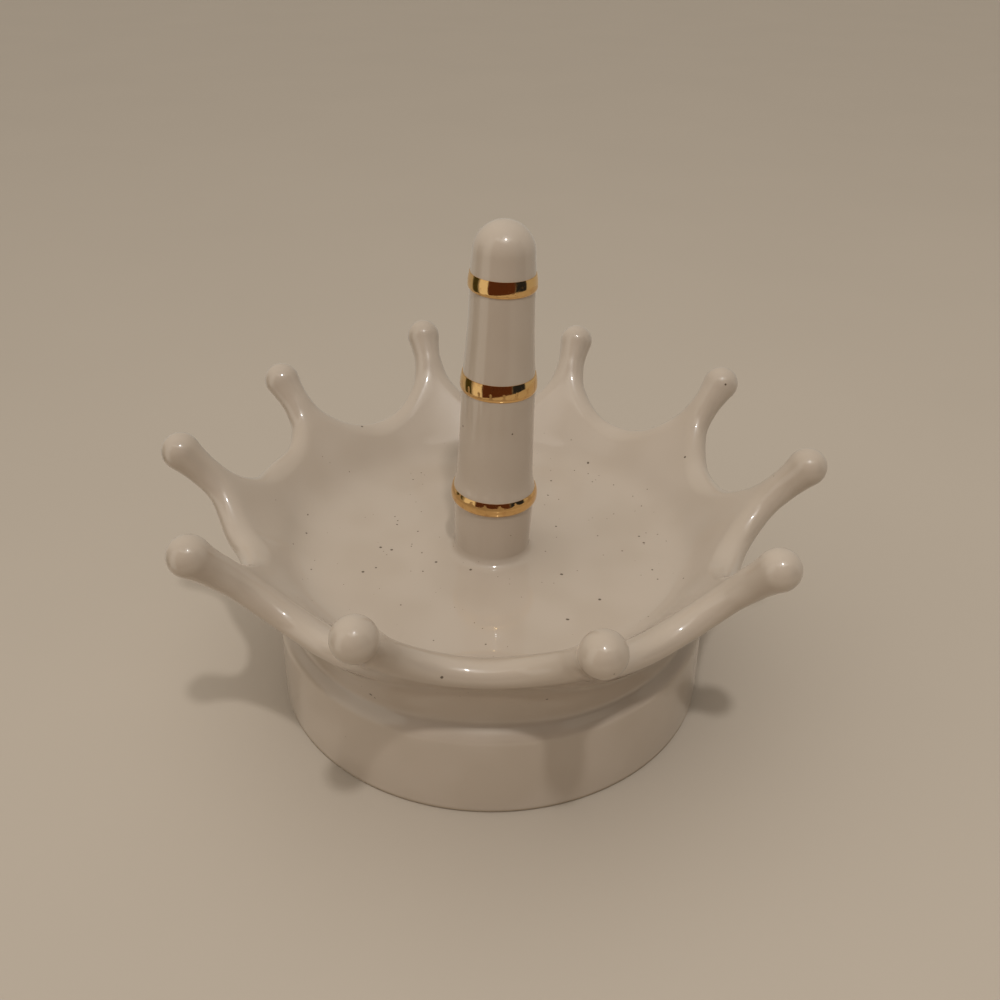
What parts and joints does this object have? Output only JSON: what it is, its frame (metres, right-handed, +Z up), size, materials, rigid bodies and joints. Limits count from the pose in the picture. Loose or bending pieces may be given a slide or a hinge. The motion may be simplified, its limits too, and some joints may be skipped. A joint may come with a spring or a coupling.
{
  "type": "ring dish",
  "caption": "Glazed porcelain ring dish shaped as a crown of round-tipped points on a hollow foot, with a tall post for rings, banded in gold, in its bowl.",
  "frame": {"origin": "centre of the foot, on the table it stands on", "axes": "+Z up along the foot's axis, +Y away from the viewer of the picture, +X to the viewer's right; one point of the crown lies on +X"},
  "size_m": [0.11, 0.1048, 0.082],
  "materials": {
    "white_glaze": "clear glossy glaze over warm white porcelain",
    "gold_lustre": "fired bright gold lustre, mirror smooth and lightly worn"
  },
  "bodies": {
    "root": {"crown_dish": "white_glaze", "ring_post": "white_glaze", "luting_slip_ring": "white_glaze", "gold_band_lower": "gold_lustre", "gold_band_middle": "gold_lustre", "gold_band_upper": "gold_lustre"}
  },
  "joints": []
}
